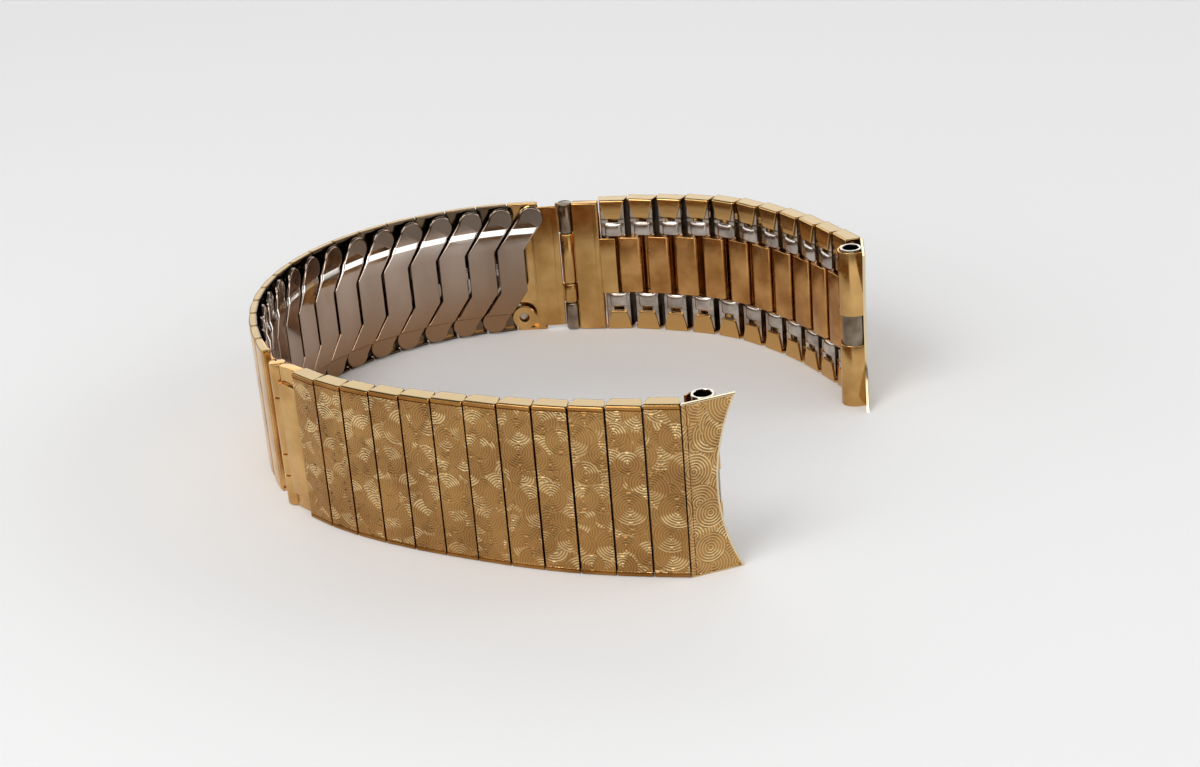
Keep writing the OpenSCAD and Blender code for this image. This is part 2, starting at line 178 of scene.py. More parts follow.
# Building blocks: each one adds a closed form to a piece, in that piece's own frame
class Piece:
    def __init__(self):
        self.bm = bmesh.new()

    def take(self, bm, bevel=0.0, segments=2, angle=30):
        bmesh.ops.recalc_face_normals(bm, faces=bm.faces)
        if bevel:
            edges = [e for e in bm.edges
                     if len(e.link_faces) == 2 and e.calc_face_angle(0) > math.radians(angle)]
            bmesh.ops.bevel(bm, geom=edges, offset=bevel, segments=segments, profile=0.5,
                            affect="EDGES", clamp_overlap=True)
        me = bpy.data.meshes.new("tmp")
        bm.to_mesh(me)
        bm.free()
        self.bm.from_mesh(me)
        bpy.data.meshes.remove(me)
        return self

    def prism(self, pts, lo, hi, axis, bevel=0.05, segments=2):
        bm = bmesh.new()

        def at(a, b, c):
            return {"x": (c, a, b), "y": (a, c, b), "z": (a, b, c)}[axis]

        low = [bm.verts.new(at(a, b, lo)) for a, b in pts]
        high = [bm.verts.new(at(a, b, hi)) for a, b in pts]
        bm.faces.new(low[::-1])
        bm.faces.new(high)
        band(bm, low, high)
        return self.take(bm, bevel, segments)

    def box(self, x, y, z, bevel=0.05, segments=2):
        corners = [(x[0], y[0]), (x[1], y[0]), (x[1], y[1]), (x[0], y[1])]
        return self.prism(corners, z[0], z[1], "z", bevel, segments)

    def lathe(self, rings, centre=(0, 0), axis="z", n=48, closed=False):
        """rings: (radius, height) pairs, capped at both ends, or joined in a round if closed"""
        bm = bmesh.new()
        loops = []
        for r, h in rings:
            points = [(centre[0] + r * math.cos(2 * math.pi * i / n),
                       centre[1] + r * math.sin(2 * math.pi * i / n)) for i in range(n)]
            loops.append([bm.verts.new((a, b, h) if axis == "z" else (a, h, b)) for a, b in points])
        for p, q in zip(loops, loops[1:]):
            band(bm, p, q)
        if closed:
            band(bm, loops[-1], loops[0])
        else:
            bm.faces.new(loops[0][::-1])
            bm.faces.new(loops[-1])
        return self.take(bm)

    def rod(self, r, lo, hi, centre=(0, 0), axis="z", edge=0.06):
        e = min(edge, abs(hi - lo) / 3)
        return self.lathe([(r - e, lo), (r - 0.3 * e, lo + 0.3 * e), (r, lo + e), (r, hi - e),
                           (r - 0.3 * e, hi - 0.3 * e), (r - e, hi)], centre, axis)

    def tube(self, r, bore, lo, hi, centre, e):
        return self.lathe([(bore, lo + e), (bore + e, lo), (r - e, lo), (r, lo + e),
                           (r, hi - e), (r - e, hi), (bore + e, hi), (bore, hi - e)],
                          centre, n=64, closed=True)

    def rings(self, loops):
        """loops: array (m, n, 3), each loop closed, capped at the first and the last"""
        m, n, _ = loops.shape
        i = np.arange(m - 1)[:, None] * n
        j = np.arange(n)[None, :]
        k = (j + 1) % n
        quads = np.stack([i + j, i + k, i + n + k, i + n + j], -1).reshape(-1, 4).tolist()
        caps = [list(range(n))[::-1], list(range((m - 1) * n, m * n))]
        me = bpy.data.meshes.new("tmp")
        me.from_pydata(loops.reshape(-1, 3).tolist(), [], quads + caps)
        bm = bmesh.new()
        bm.from_mesh(me)
        bpy.data.meshes.remove(me)
        return self.take(bm)

    def swing(self, bend, x):
        """Turns the piece by half a bend between neighbours, then moves it along x"""
        turn = Matrix.Rotation(math.radians(-bend / 2), 4, "Z")
        bmesh.ops.transform(self.bm, verts=self.bm.verts,
                            matrix=Matrix.Translation((x, 0, 0)) @ turn)
        return self

    def finish(self, name, node, matrix, material, slot, smooth=35, tints=None):
        """tints: functions of the local points, each giving one tint's share at every point"""
        bm = self.bm
        points = np.array([v.co[:] for v in bm.verts])
        shares = {key: share(points) for key, share in (tints or {}).items()}
        bmesh.ops.transform(bm, matrix=Matrix.Scale(MM, 4) @ matrix, verts=bm.verts)
        if matrix.determinant() < 0:
            bmesh.ops.reverse_faces(bm, faces=bm.faces)
        me = bpy.data.meshes.new(name)
        bm.to_mesh(me)
        bm.free()
        me.polygons.foreach_set("use_smooth", [True] * len(me.polygons))
        me.set_sharp_from_angle(angle=math.radians(smooth))
        me.materials.append(material)
        for key, share in shares.items():
            attribute = me.attributes.new(key, "FLOAT", "POINT")
            attribute.data.foreach_set("value", share.astype(np.float32))
        obj = bpy.data.objects.new(name, me)
        show(obj)
        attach(obj, node)
        first_piece.setdefault(node, obj)


# The piece that stands in for each node's own solid
first_piece = {}


# Materials
def material(name, colour, metallic=1.0, roughness=0.2, **sockets):
    mat = bpy.data.materials.new(name)
    mat.use_nodes = True
    bsdf = mat.node_tree.nodes["Principled BSDF"]
    bsdf.inputs["Base Color"].default_value = (*colour, 1)
    bsdf.inputs["Metallic"].default_value = metallic
    bsdf.inputs["Roughness"].default_value = roughness
    for key, value in sockets.items():
        bsdf.inputs[key].default_value = value
    return mat


def add(tree, kind, **values):
    node = tree.nodes.new(kind)
    for key, value in values.items():
        if key in node.inputs:
            node.inputs[key].default_value = value
        else:
            setattr(node, key, value)
    return node


def noise(tree, scale, detail, stretch=(1, 1, 1)):
    """Noise over the object's own coordinates"""
    coord = add(tree, "ShaderNodeTexCoord")
    mapping = add(tree, "ShaderNodeMapping", Scale=stretch)
    texture = add(tree, "ShaderNodeTexNoise", Scale=scale, Detail=detail)
    tree.links.new(coord.outputs["Object"], mapping.inputs["Vector"])
    tree.links.new(mapping.outputs["Vector"], texture.inputs["Vector"])
    return texture.outputs["Fac"]


def ramp(tree, stops, source):
    """Colour that follows (position, colour) stops over the source's value"""
    node = add(tree, "ShaderNodeValToRGB")
    elements = node.color_ramp.elements
    for element, (position, colour) in zip(elements, (stops[0], stops[-1])):
        element.position = position
        element.color = (*colour, 1)
    for position, colour in stops[1:-1]:
        elements.new(position).color = (*colour, 1)
    tree.links.new(source, node.inputs["Fac"])
    return node.outputs["Color"]


def tone(mat, low, high, scale, stretch=(1, 1, 1)):
    """Base colour drifting between two tones over the surface"""
    tree = mat.node_tree
    colour = ramp(tree, [(0.35, low), (0.65, high)], noise(tree, scale, 4.0, stretch))
    tree.links.new(colour, tree.nodes["Principled BSDF"].inputs["Base Color"])


def worn(mat, low, high, scale, bump=0.0, bump_scale=0.0, stretch=(1, 1, 1)):
    """Roughness that drifts over the surface, and a bump of 0.01 mm at most"""
    tree = mat.node_tree
    bsdf = tree.nodes["Principled BSDF"]
    spread = add(tree, "ShaderNodeMapRange",
                 **{"From Min": 0.3, "From Max": 0.7, "To Min": low, "To Max": high})
    tree.links.new(noise(tree, scale, 3.0, stretch), spread.inputs["Value"])
    tree.links.new(spread.outputs["Result"], bsdf.inputs["Roughness"])
    if bump:
        node = add(tree, "ShaderNodeBump", Strength=bump, Distance=0.01 * MM)
        tree.links.new(noise(tree, bump_scale, 2.0, stretch), node.inputs["Height"])
        tree.links.new(node.outputs["Normal"], bsdf.inputs["Normal"])


def tinted(mat, key, tint, share):
    """Another tone where the named attribute is high, over the colour that the material has"""
    tree = mat.node_tree
    base = tree.nodes["Principled BSDF"].inputs["Base Color"]
    colour = base.links[0].from_socket
    level = add(tree, "ShaderNodeAttribute", attribute_name=key)
    scaled = add(tree, "ShaderNodeMath", operation="MULTIPLY")
    scaled.inputs[1].default_value = share
    mix = add(tree, "ShaderNodeMix", data_type="RGBA")
    mix.inputs["B"].default_value = (*tint, 1)
    tree.links.new(level.outputs["Fac"], scaled.inputs[0])
    tree.links.new(scaled.outputs["Value"], mix.inputs["Factor"])
    tree.links.new(colour, mix.inputs["A"])
    tree.links.new(mix.outputs["Result"], base)


# The second tone is near-black painted shade for the hollow inner side of the shells
PALE, PAINTED_SHADE = (0.33, 0.25, 0.125), (0.10, 0.08, 0.065)
gold = material("gold_polished", (0.60, 0.345, 0.12))
tone(gold, (0.48, 0.265, 0.085), (0.70, 0.43, 0.165), 260)
worn(gold, 0.12, 0.24, 600, 0.15, 2500)
tinted(gold, "pale", PALE, 0.85)
# Painted shade on the shells' inner sides
tinted(gold, "inside", PAINTED_SHADE, 0.85)
engraved = material("gold_engraved", (0.33, 0.15, 0.036))
tone(engraved, (0.27, 0.118, 0.027), (0.40, 0.20, 0.055), 200)
worn(engraved, 0.12, 0.2, 700, 0.1, 3000)
# Bright cut metal in the grooves: partly the metal's own colour, partly a painted highlight on one
# side of each disc
tinted(engraved, "cut", (0.98, 0.76, 0.40), 1.0)
tinted(engraved, "plain", (0.62, 0.37, 0.135), 1.0)
tinted(engraved, "pale", PALE, 0.85)
# Painted highlight along the end cover's free edge and its two ends
tinted(engraved, "rim", (0.80, 0.68, 0.45), 0.85)
gold_inner = material("gold_inner", (0.52, 0.265, 0.085))
tone(gold_inner, (0.38, 0.175, 0.05), (0.64, 0.35, 0.125), 320)
worn(gold_inner, 0.14, 0.3, 500, 0.25, 1800)
steel = material("steel_lever", (0.45, 0.34, 0.265))
tone(steel, (0.35, 0.255, 0.19), (0.55, 0.435, 0.36), 150, (1, 1, 0.35))
worn(steel, 0.06, 0.14, 400, 0.2, 900)
# Painted warm reflection on the lower part of each lever
tinted(steel, "low", (0.33, 0.185, 0.095), 0.9)
# Painted shade on each lever's upper round end
tinted(steel, "high", (0.17, 0.13, 0.10), 0.85)
# Painted highlight on the fold under each lever's upper round end
tinted(steel, "crease", (0.78, 0.74, 0.70), 0.85)
core_steel = material("steel_core", (0.48, 0.42, 0.37))
tone(core_steel, (0.33, 0.28, 0.24), (0.62, 0.57, 0.52), 500)
worn(core_steel, 0.12, 0.26, 700, 0.2, 2500)
dark_steel = material("steel_dark", (0.26, 0.20, 0.145))
tone(dark_steel, (0.16, 0.12, 0.085), (0.36, 0.285, 0.215), 450)
worn(dark_steel, 0.12, 0.26, 700, 0.2, 2500)
tinted(dark_steel, "mouth", (0.62, 0.57, 0.51), 0.9)
# Near-black steel of the strips behind the gaps: painted shade between links and between shells
gap_shade_steel = material("steel_gap_shade", (0.06, 0.045, 0.035))
tone(gap_shade_steel, (0.04, 0.03, 0.022), (0.09, 0.07, 0.055), 500)
worn(gap_shade_steel, 0.35, 0.5, 700)
spring_mat = material("spring_satin", (0.55, 0.56, 0.58))
tone(spring_mat, (0.5, 0.51, 0.53), (0.6, 0.61, 0.63), 400)
worn(spring_mat, 0.2, 0.35, 900, 0.2, 3000, (1, 1, 0.1))
GOLD, STEEL, SPRING = "gold_plate", "steel", "spring_steel"


# Engraving: overlapping discs of fine concentric rings, the last disc on top
def disc_layout(seed, reach_x, reach_z, radius, spacing):
    """Discs over a face: centre x and z, radius, phase, side of its painted highlight, its lean,
    the highlight's strength
    """
    rng = np.random.default_rng(seed)
    x0 = reach_x[0] - radius - rng.uniform(0, spacing)
    z0 = -reach_z - radius - rng.uniform(0, spacing)
    centres = [(cx, cz) for cx in np.arange(x0, reach_x[1] + radius, spacing)
               for cz in np.arange(z0, reach_z + radius, spacing)]
    rng.shuffle(centres)
    return [(cx + rng.uniform(-0.5, 0.5) * spacing, cz + rng.uniform(-0.5, 0.5) * spacing,
             radius * rng.uniform(0.75, 1.15), rng.uniform(0, 2 * math.pi), rng.choice((-1, 1)),
             rng.uniform(-0.6, 0.6), rng.uniform(0.55, 1.0)) for cx, cz in centres]


def engraving(x, z, layout, ring, dim=LINK_DIM):
    """Depth of the cut from 0 to 1, and how bright its line is: dim cut metal, with a painted
    highlight added in a disc's fan
    """
    depth, bright = np.zeros(x.shape), np.zeros(x.shape)
    for cx, cz, r, phase, way, lean, most in layout:
        dx, dz = x - cx, z - cz
        d = np.hypot(dx, dz)
        disc = d < r
        dx, dz, d = dx[disc], dz[disc], d[disc]
        depth[disc] = 0.5 - 0.5 * np.cos(2 * math.pi * d / ring + phase)
        fan = way * (dz * math.cos(lean) + dx * math.sin(lean)) / np.maximum(d, 0.01)
        bright[disc] = dim + max(0, most - dim) * rise(fan, 0.55, 0.2)
    return depth, bright


# Shares of the tints at the points of a piece
def face_cut_and_highlight(face_y, reach, layout, ring, dim=LINK_DIM):
    """Share of bright cut metal, with its painted highlight, on the engraved part of a face at
    face_y
    """
    def share(points):
        x, y, z = points.T
        depth, bright = engraving(x, z, layout, ring, dim)
        return depth ** 1.5 * bright * (y > face_y - 0.1) * (np.abs(z) < reach)
    return share


def plain(face_y):
    """Share of plain gold off the engraved face"""
    return lambda points: rise(face_y - points[:, 1], 0.12, 0.06)


def flange_pale(w):
    """Share of pale tone on the flanges of a channel w high"""
    return lambda points: rise(np.abs(points[:, 2]), w / 2 - 0.12, 0.1)


def shell_pale(points):
    """Share of pale tone on a shell's flanges, near its face"""
    return flange_pale(SPRING_W)(points) * (points[:, 1] > 0.2)


def shell_inner_shade(points):
    """Share of painted shade, near black, on a shell's inner side"""
    y, z = points[:, 1], np.abs(points[:, 2])
    walls = (z < HALF_SPRING - 0.25) * (y < CROWN_Y - 0.25)
    return np.maximum(rise(0.2 - y, 0, 0.06), walls)


def lever_warm_reflection(points):
    """Share of the warm tone towards a lever's lower end: a painted warm reflection"""
    return rise(1.5 - points[:, 2], 0, 7)


def lever_top_shade(points):
    """Share of the dark tone on a lever's upper round end: painted shade"""
    return rise(points[:, 2], END_Z - 1.15, 0.25)


def lever_crease_highlight(points):
    """Share of a painted highlight on the fold under the upper round end"""
    from_fold = np.abs(points[:, 2] - END_Z + 1.42)
    return (1 - rise(from_fold, 0.3, 0.06)) * (points[:, 1] < -0.6)


def tube_mouth(points):
    """Share of bright metal at the two mouths of the spring bar tube"""
    return rise(np.abs(points[:, 2]), HALF_END - 0.05, 0.04)


def free_edge(z):
    """How far the cover's hollowed free edge reaches at height z"""
    z = np.clip(z, -HALF_END, HALF_END)
    return COVER_REACH - COVER_HOLLOW + HOLLOW_R - np.sqrt(HOLLOW_R ** 2 - z ** 2)


def rim_highlight(points):
    """Share of a painted highlight, in a pale tone, along the cover's free edge and its two ends"""
    x, z = points[:, 0], points[:, 2]
    return np.maximum(1 - rise(free_edge(z) - x, 0.18, 0.06),
                      rise(np.abs(z), HALF_END - END_MARGIN, 0.06))


# Wrapped sheet: follows a profile in y and z, and spans its half width in x
def wrapped(profile, x_unit, edge, offset=None, engrave=None):
    """profile: rows (y, z, ny, nz, half width, sink); offset(x, ny) sinks the outer face more"""
    middle = 0.29 * edge
    loops = []
    for j, (y, z, ny, nz, half, sink) in enumerate(profile):
        x = np.concatenate([[-half, middle - half], x_unit * (half - edge), [half - middle, half]])
        drop = np.zeros(len(x)) + sink
        drop[[0, -1]] += edge
        drop[[1, -2]] += middle
        if offset is not None:
            drop += offset(x, ny)
        if engrave is not None:
            drop[2:-2] += engrave[j]
        outer = np.stack([x, y - ny * drop, z - nz * drop], -1)
        inner_y, inner_z = y - ny * SHEET, z - nz * SHEET
        loops.append(np.concatenate([outer, [[half, inner_y, inner_z], [-half, inner_y, inner_z]]]))
    return np.array(loops)


def rolled_corner(face_y, half_w, half):
    """Profile rows round the outer corner between a flange and the face"""
    rows = []
    for a in (0, 20, 40, 60, 75, 90):
        c, s = unit(a)
        rows.append((face_y - EDGE_R + EDGE_R * s, half_w - EDGE_R + EDGE_R * c, s, c, half, 0.0))
    return rows


def full_profile(top, face_y, z_face, half, cell, sink=0.0):
    """Top rows, rows a cell apart across the face, and the top rows mirrored to the lower edge"""
    zs = np.linspace(z_face, -z_face, int(2 * z_face / cell))
    face = [(face_y, float(z), 1, 0, half, sink) for z in zs]
    low = [(y, -z, ny, -nz, h, s) for y, z, ny, nz, h, s in top[::-1]]
    return top + face + low, zs


# Fixed links
def link_profile(w):
    """Rows from the lip's free end over the flange to the groove beside the engraved face"""
    half_w = w / 2
    lip_in, lip_out = LINK_HALF - 0.8, LINK_HALF - TAPER
    fold = 0.22

    def width_at(y):
        """Half width of the flange, which narrows towards the lip"""
        return lerp(lip_out, LINK_HALF, min(1, (y + LIP_Y) / (FACE_Y - 2 * SHEET + LIP_Y)))

    rows = []
    for dz, sink in ((0.0, 0.12), (0.035, 0.035), (0.12, 0.0), (0.6, 0.0), (1.1, 0.0)):
        half = lerp(lip_in, lip_out, dz / 1.85)
        rows.append((-LIP_Y, half_w - LIP_REACH + dz, -1, 0, half, sink))
    for a in (0, 22, 45, 68, 90):
        c, s = unit(a)
        y, z = -LIP_Y + fold - fold * c, half_w - fold + fold * s
        rows.append((y, z, -c, s, width_at(y) if a else lip_out, 0.0))
    for y in (-0.2, 0.2, 0.6, 0.9):
        rows.append((y, half_w, 0, 1, width_at(y), 0.0))
    rows += rolled_corner(FACE_Y, half_w, LINK_HALF)
    for dz, sink in ((0.42, 0.0), (0.45, 0.07), (0.49, 0.08), (0.53, 0.02)):
        rows.append((FACE_Y, half_w - dz, 1, 0, LINK_HALF, sink))
    return rows


def link_channel(w, layout):
    """Gold channel with two lips, two flanges and an engraved face"""
    edge = 0.1
    top = link_profile(w)
    profile, zs = full_profile(top, FACE_Y, w / 2 - LINK_MARGIN, LINK_HALF, LINK_CELL, FACE_SINK)
    x_unit = np.linspace(-1, 1, int(2 * (LINK_HALF - edge) / LINK_CELL))
    grid_x, grid_z = np.meshgrid(x_unit * (LINK_HALF - edge), zs)
    engrave = np.zeros((len(profile), len(x_unit)))
    depth, _ = engraving(grid_x, grid_z, layout, LINK_RING)
    engrave[len(top):len(top) + len(zs)] = ENGRAVE * depth
    return Piece().rings(wrapped(profile, x_unit, edge, engrave=engrave))


def pillow(piece, x, z, y_base, y_top, power=2.6, n=14):
    """Rounded bulge towards the wrist over a rectangle"""
    cx, cz, hx, hz = (x[0] + x[1]) / 2, (z[0] + z[1]) / 2, (x[1] - x[0]) / 2, (z[1] - z[0]) / 2
    steps = np.sin(np.linspace(-math.pi / 2, math.pi / 2, n))
    heights = [max(0.0, 1 - abs(u) ** power) ** (1 / power) for u in steps]
    loops = []
    for v, fz in zip(steps, heights):
        z_row, y_back = cz + hz * v, y_base + 0.1
        loop = [(cx + hx * u, lerp(y_base, y_top, fx * fz), z_row) for u, fx in zip(steps, heights)]
        loops.append(loop + [(x[1], y_back, z_row), (x[0], y_back, z_row)])
    piece.rings(np.array(loops))


def link_lap(w, lap):
    """Strip behind a link's face that reaches under the next one and closes the gap to the eye;
    near black, it paints the shade in the gap
    """
    return Piece().box((LINK_HALF - 0.5, LINK_HALF + lap), (0.6, 0.68), span(w / 2 - 0.33), 0.03)


def link_core(w):
    """Steel core with its noses, windows and pins"""
    piece = Piece()
    panel = w / 2 - PANEL_INSET
    nose_top = w / 2 - LIP_REACH - 0.5
    liner_top = w / 2 - 0.44
    arm = LINK_HALF - 0.35
    liner_y = (-0.4, -0.1)
    for s in (1, -1):
        def z(a, b):
            return (a, b) if s > 0 else (-b, -a)

        piece.box(span(1.35), (-0.2, FACE_Y - 0.32), z(panel + 0.05, nose_top), 0.08)
        piece.box(span(arm), liner_y, z(nose_top + 0.45, liner_top), 0.05)
        piece.box(span(arm), liner_y, z(panel + 0.3, nose_top), 0.06)
        for x in ((0.6, arm), (-arm, -0.6)):
            piece.box(x, liner_y, z(nose_top - 0.1, nose_top + 0.55), 0.05)
        pillow(piece, span(1.05), z(panel + 0.05, nose_top), -0.2, -LIP_Y)
    tip = w / 2 - LIP_REACH - 0.8
    for x in (-PIN_X, PIN_X):
        piece.rod(PIN_R, -tip, tip, (x, 0))
    return piece


def link_panel(w, bend):
    """Panel round two pins, a solid with round ends turned by half the bend; the real panel is
    folded of sheet with its seam towards the face
    """
    panel = w / 2 - PANEL_INSET
    n = 12
    pts = []
    for cx, start in ((0, 90), (PIN_STEP, 270)):
        for i in range(n + 1):
            c, s = unit(start + 180 * i / n)
            pts.append((cx + PANEL_R * c, PANEL_R * s))
    return Piece().prism(pts, -panel, panel, "z", 0.09, 3).swing(bend, PIN_X)


# Barrel hinges
def knuckle(n, centre=(0, 0)):
    """One of the four knuckles of a barrel hinge"""
    return Piece().rod(BARREL_R, *knuckle_span(n), centre, edge=0.14)


def hinge_bar():
    """Plain bar between a barrel hinge and its first link, with one knuckle"""
    piece = Piece()
    near, far = BARREL_R + BARREL_GAP, BAR_REACH - LINK_HALF - 0.02
    piece.box((near, far), (-0.65, 0.5), span(HALF_SPRING - 0.1), 0.12, 3)
    piece.box((near, far), (-0.6, 0.95), span(HALF_SPRING - 1.8), 0.12, 3)
    piece.box((far - 0.6, far - 0.12), (-0.7, -0.5), span(HALF_SPRING - 0.15), 0.07, 3)
    piece.rod(BARREL_R, *knuckle_span(2), edge=0.14)
    piece.box((0, near + 0.2), span(0.3), knuckle_span(2), 0.09)
    piece.box((0.3, near + 0.2), span(0.3), knuckle_span(0), 0.09)
    panel = link_width(1, len(FRONT_BENDS) + 1) / 2 - PANEL_INSET
    piece.box((far - 0.1, far + 1.82), (-PANEL_R, 0.22 - PANEL_R), span(panel), 0.07, 3)
    return piece


def hinge_plate(flip):
    """Plate, ears and one knuckle at an end of the sprung section, flipped for the left end"""
    piece = Piece()
    near = PLATE_REACH - BARREL_R - BARREL_GAP
    piece.box((END_X / 3, near), (-0.1, 0.2), span(HALF_SPRING - 0.5), 0.08, 3)
    piece.box((near - 0.75, near - 0.02), (-0.16, 0.1), span(HALF_SPRING - 0.55), 0.07, 3)
    piece.box((SHELL_HALF - 1, SHELL_HALF - 0.2), (-0.07, 0.7), span(HALF_SPRING - 0.1), 0.05)
    piece.rod(BARREL_R, *knuckle_span(1), (PLATE_REACH, 0), edge=0.14)
    for n in (1, 3):
        piece.box((near - 0.2, PLATE_REACH - 0.1), (-0.1, 0.2), knuckle_span(n), 0.07)
    if flip:
        bmesh.ops.transform(piece.bm, verts=piece.bm.verts, matrix=Matrix.Diagonal((-1, 1, 1, 1)))
        bmesh.ops.reverse_faces(piece.bm, faces=piece.bm.faces)
    ear = [(0.55, -0.08), (0.60, -0.14), (LEVER_R - 0.1, -0.14),
           (LEVER_R, -0.06), (LEVER_R, 0.0), (0.55, 0.0)]
    for s in (1, -1):
        piece.lathe(ear, (s * END_X / 3, s * END_Z), "y", closed=True)
    return piece


# Sprung section
def shell_channel():
    """Gold shell with a crowned face between two stepped shoulders"""
    top = []
    for y, sink in ((0.05, 0.1), (0.08, 0.03), (0.14, 0.0), (0.3, 0.0), (0.5, 0.0), (0.65, 0.0)):
        taper = 0.1 * max(0, (0.3 - y) / 0.25)
        top.append((y, HALF_SPRING, 0, 1, SHELL_HALF - taper, sink))
    top += rolled_corner(CROWN_Y, HALF_SPRING, SHELL_HALF)
    profile, _ = full_profile(top, CROWN_Y, HALF_SPRING - 0.5, SHELL_HALF, 1.0)
    shoulder = np.array([0.79, 0.83, 0.865])
    x_unit = np.unique(np.concatenate([np.linspace(-1, 1, 25), -shoulder, shoulder]))

    def offset(x, ny):
        crown = CROWN_R - np.sqrt(CROWN_R ** 2 - x ** 2)
        step = rise(np.abs(x), SHELL_HALF - 0.36, 0.06)
        return max(0, ny) * (crown * (1 - step) + 0.15 * step)

    return Piece().rings(wrapped(profile, x_unit, 0.08, offset))


def shell_lap():
    """Strip that reaches under the next shell's wall; near black, it paints the shade in the gap"""
    return Piece().box((SHELL_HALF - 0.4, SHELL_HALF + 0.18), (0.57, 0.63),
                       span(HALF_SPRING - 0.35), 0.02)


def fillet(points, radii, n=5):
    """Polygon with its corners rounded by arcs"""
    out = []
    count = len(points)
    for i, (p, r) in enumerate(zip(points, radii)):
        if not r:
            out.append(p)
            continue
        a, b = Vector(points[i - 1]) - Vector(p), Vector(points[(i + 1) % count]) - Vector(p)
        a.normalize()
        b.normalize()
        angle = a.angle(b)
        d = r / math.tan(angle / 2)
        bis = (a + b).normalized() * (r / math.sin(angle / 2))
        c = Vector(p) + bis
        s, e = Vector(p) + a * d - c, Vector(p) + b * d - c
        for k in range(n + 1):
            v = s.lerp(e, k / n).normalized() * r
            out.append(((c + v).x, (c + v).y))
    return out


def dedupe(points):
    """Outline without points that lie closer than 0.02 mm to the last"""
    out = []
    for p in points:
        if not out or math.dist(p, out[-1]) > 0.02:
            out.append(p)
    if math.dist(out[0], out[-1]) < 0.02:
        out.pop()
    return out


def lever_outline(w, arm, r):
    """Straight middle w wide and two slanted arms with round ends, in x and z"""
    h = arm / 2
    cs, sn = unit(ARM_SLANT)
    slope = cs / sn
    lx, lz, rx, rz = END_X - h * cs, END_Z + h * sn, END_X + h * cs, END_Z - h * sn
    z1 = lz - (lx + w / 2) * slope
    z2 = rz - (rx - w / 2) * slope
    back = math.sqrt(max(0, r * r - h * h))
    start = math.degrees(math.atan2(lz - back * cs - END_Z, lx - back * sn - END_X))
    stop = math.degrees(math.atan2(rz - back * cs - END_Z, rx - back * sn - END_X))
    while stop > start:
        stop -= 360
    arc = [(END_X + r * math.cos(math.radians(t)), END_Z + r * math.sin(math.radians(t)))
           for t in np.linspace(start, stop, 33)]
    half = [(-w / 2, z1)] + arc + [(w / 2, z2)]
    radii = [0.5] + [0] * len(arc) + [0.5]
    return dedupe(fillet(half + [(-x, -z) for x, z in half], radii * 2))


def inset(points, d):
    """Clockwise outline moved inwards along its normals"""
    p = np.array(points)
    a, b = p - np.roll(p, 1, 0), np.roll(p, -1, 0) - p
    a /= np.linalg.norm(a, axis=1)[:, None]
    b /= np.linalg.norm(b, axis=1)[:, None]
    na, nb = np.stack([a[:, 1], -a[:, 0]], -1), np.stack([b[:, 1], -b[:, 0]], -1)
    n = na + nb
    n /= np.linalg.norm(n, axis=1)[:, None]
    return p + n * (d / np.maximum(0.5, (n * na).sum(1)))[:, None]


def area(points):
    """Signed area, positive for an anticlockwise outline"""
    p = np.array(points)
    q = np.roll(p, -1, 0)
    return 0.5 * (p[:, 0] * q[:, 1] - q[:, 0] * p[:, 1]).sum()


def front_lever():
    """Stamped sheet: round ends that lie deep, stepped up to the body by two joggles"""
    outline = lever_outline(LEVER_W, ARM_W, LEVER_R)
    if area(outline) > 0:
        outline = outline[::-1]
    flat = np.array(outline)
    inward = inset(outline, 1.0) - flat
    from_end = np.hypot(np.abs(flat[:, 0]) - END_X, np.abs(flat[:, 1]) - END_Z)
    rim = (0.11 + 0.13 * (1 - rise(from_end, LEVER_R, 0.6)))[:, None]
    bm = bmesh.new()
    loops = []
    for t, extra in ((0, 0), (18, 0), (36, 0), (54, 0), (72, 0), (90, 0), (90, 0.05)):
        c, s = unit(t)
        rows = np.column_stack([flat + inward * (rim * (1 - c) + extra), rim * (1 - s)]).tolist()
        loops.append([bm.verts.new((x, y, z)) for x, z, y in rows])
    back = [bm.verts.new((x, SHEET, z)) for x, z in outline]
    for p, q in zip([back] + loops, loops):
        band(bm, p, q)
    bm.faces.new(loops[-1])
    bm.faces.new(back[::-1])
    bmesh.ops.recalc_face_normals(bm, faces=bm.faces)
    top, low = END_Z - 1.1, 0.75 - END_Z
    joggles = [(low - 0.04, -0.75), (low, -0.76), (low + 0.05, -0.79), (low + 0.16, -0.96),
               (low + 0.22, -0.99), (low + 0.28, -1.0), (top - 0.66, -1.0), (top - 0.60, -0.988),
               (top - 0.55, -0.97), (top - 0.05, -0.778), (top, -0.758), (top + 0.04, -0.75)]
    for cut, _ in joggles[::-1]:
        bmesh.ops.bisect_plane(bm, geom=bm.verts[:] + bm.edges[:] + bm.faces[:], dist=1e-5,
                               plane_co=(0, 0, cut), plane_no=(0, 0, 1))
    bmesh.ops.triangulate(bm, faces=[f for f in bm.faces if len(f.verts) > 4])
    z_steps, y_steps = zip(*joggles)
    for v in bm.verts:
        v.co.y += float(np.interp(v.co.z, z_steps, y_steps))
    piece = Piece().take(bm)
    for s in (1, -1):
        piece.rod(0.4, -0.5, -0.43, (s * END_X, s * END_Z), "y", 0.02)
    return piece


def cross_lever():
    """Hidden lever that crosses the front ones, with its rivet"""
    piece = Piece()
    mirrored = [(-x, z) for x, z in lever_outline(1.6, 1.4, 0.75)]
    piece.prism(mirrored, 0.17, 0.25, "y", 0.03)
    piece.rod(RIVET_HEAD_R, 0.02, 0.14, (0, 0), "y", 0.05)
    piece.rod(RIVET_R, -0.02, 0.7, (0, 0), "y", 0.03)
    return piece


def lever_post(bend):
    """Post on which the front lever turns"""
    post = Piece().rod(POST_R, -0.84, 0.7, (-POST_X, -POST_Z), "y", 0.05)
    return post.swing(bend, SHELL_PITCH / 2)


